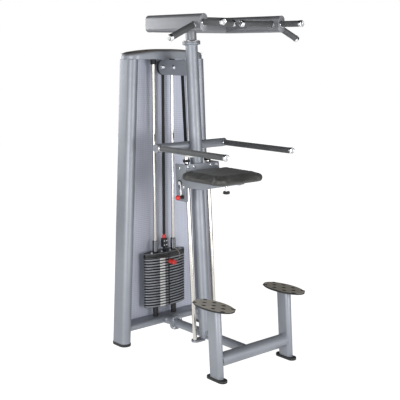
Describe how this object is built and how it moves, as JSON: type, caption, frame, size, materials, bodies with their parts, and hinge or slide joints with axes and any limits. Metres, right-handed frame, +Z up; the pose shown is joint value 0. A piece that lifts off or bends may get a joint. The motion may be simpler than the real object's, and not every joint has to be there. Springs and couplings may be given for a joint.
{
  "type": "assisted chin and dip machine",
  "caption": "Free-standing assisted chin-up and dip machine: raked column with a counterweighted knee pad carriage, pull-up grips, dip handles, foot platforms and a weight stack tower.",
  "frame": {"origin": "middle of the machine on the floor: the centre of the bottom face of its bounding box", "axes": "+X across the machine, +Y from the user's side to the weight tower, +Z up from the floor"},
  "size_m": [1.09, 1.144, 2.25],
  "materials": {
    "silver_paint": "smooth satin powder coat",
    "dark_paint": "smooth satin powder coat",
    "chrome": "polished",
    "grip_rubber": "matt textured sleeve",
    "black_rubber": "matt",
    "black_steel": "semi-gloss",
    "panel_paint": "satin, perforated sheet",
    "charcoal_vinyl": "grained upholstery vinyl",
    "red_plastic": "moulded",
    "white_plastic": "moulded",
    "belt_black": "woven flat belt"
  },
  "bodies": {
    "frame": {"front_foot_left": "black_rubber", "front_foot_right": "black_rubber", "tower_foot_left": "black_rubber", "tower_foot_right": "black_rubber", "stack_bumper_left": "black_rubber", "stack_bumper_right": "black_rubber", "header_buffer": "black_rubber", "front_upright_left": "silver_paint", "front_upright_right": "silver_paint", "front_cross_tube": "silver_paint", "column": "silver_paint", "spine_front": "silver_paint", "spine_rear": "silver_paint", "tower_post_left": "silver_paint", "tower_post_right": "silver_paint", "rear_beam": "silver_paint", "header_housing": "silver_paint", "dip_cross_tube": "silver_paint", "guide_bottom_bracket": "silver_paint", "platform_left": "dark_paint", "platform_right": "dark_paint", "tower_cap": "dark_paint", "pull_up_crossbar": "dark_paint", "pull_up_arm_left": "dark_paint", "pull_up_arm_right": "dark_paint", "stack_rod_left": "chrome", "stack_rod_right": "chrome", "guide_rod_left": "chrome", "guide_rod_right": "chrome", "forward_grip_left": "grip_rubber", "forward_grip_right": "grip_rubber", "wide_grip_left": "grip_rubber", "wide_grip_right": "grip_rubber", "inner_grip_left": "grip_rubber", "inner_grip_right": "grip_rubber", "dip_handle_left": "grip_rubber", "dip_handle_right": "grip_rubber", "resting_weight_plates": "black_steel", "rear_panel": "panel_paint", "guide_top_bracket": "white_plastic", "header_belt": "belt_black", "stack_belt": "belt_black", "carriage_belt": "belt_black"},
    "rear_pulley": {"rear_pulley": "black_rubber"},
    "front_pulley": {"front_pulley": "black_rubber"},
    "carriage": {"carriage_plate_left": "silver_paint", "carriage_plate_right": "silver_paint", "guide_block_left": "black_rubber", "guide_block_right": "black_rubber", "carriage_cross_plate": "silver_paint", "belt_anchor": "silver_paint"},
    "pad": {"pad_frame": "silver_paint", "knee_pad": "charcoal_vinyl"},
    "lock_plunger": {"lock_plunger": "red_plastic"},
    "lock_lever": {"lock_lever": "chrome"},
    "pad_knob": {"pad_knob": "grip_rubber"},
    "stack": {"head_plate": "black_steel", "pinned_weight_plates": "black_steel", "pin_lanyard": "belt_black"},
    "selector_pin": {"selector_pin": "red_plastic"}
  },
  "joints": [
    {"name": "carriage_slide", "type": "slide", "parent": "frame", "child": "carriage", "axis": [0, -0.0718, -0.9974], "range_m": [0, 0.6], "deforming": ["carriage_belt"]},
    {"name": "stack_lift", "type": "slide", "parent": "frame", "child": "stack", "axis": [0, 0, 1], "range_m": [0, 0.62], "deforming": ["stack_belt"]},
    {"name": "rear_pulley_spin", "type": "hinge", "parent": "frame", "child": "rear_pulley", "pos_m": [0, 0.4452, 1.916], "axis": [1, 0, 0], "range_deg": [-5, 750]},
    {"name": "front_pulley_spin", "type": "hinge", "parent": "frame", "child": "front_pulley", "pos_m": [0, 0.3312, 1.916], "axis": [1, 0, 0], "range_deg": [-5, 750]},
    {"name": "pad_fold", "type": "hinge", "parent": "carriage", "child": "pad", "pos_m": [0, 0.088, 1.146], "axis": [1, 0, 0], "range_deg": [0, 60]},
    {"name": "lock_plunger_pull", "type": "slide", "parent": "pad", "child": "lock_plunger", "axis": [-1, 0, 0], "range_m": [0, 0.012], "stiffness_N_per_m": 400, "springref_m": -0.01},
    {"name": "lock_lever_turn", "type": "hinge", "parent": "pad", "child": "lock_lever", "pos_m": [-0.1557, 0.124, 1.166], "axis": [1, 0, 0], "range_deg": [0, 30]},
    {"name": "pad_knob_turn", "type": "hinge", "parent": "pad", "child": "pad_knob", "pos_m": [0, -0.167, 1.13], "axis": [0, 0, 1], "continuous": true},
    {"name": "selector_pin_pull", "type": "slide", "parent": "stack", "child": "selector_pin", "axis": [0, -1, 0], "range_m": [0, 0.08]}
  ],
  "couplings": [
    {"joint": "stack_lift", "follows": "carriage_slide", "ratio": 1},
    {"joint": "rear_pulley_spin", "follows": "carriage_slide", "rad_per_m": 20.921},
    {"joint": "front_pulley_spin", "follows": "carriage_slide", "rad_per_m": 20.921}
  ]
}
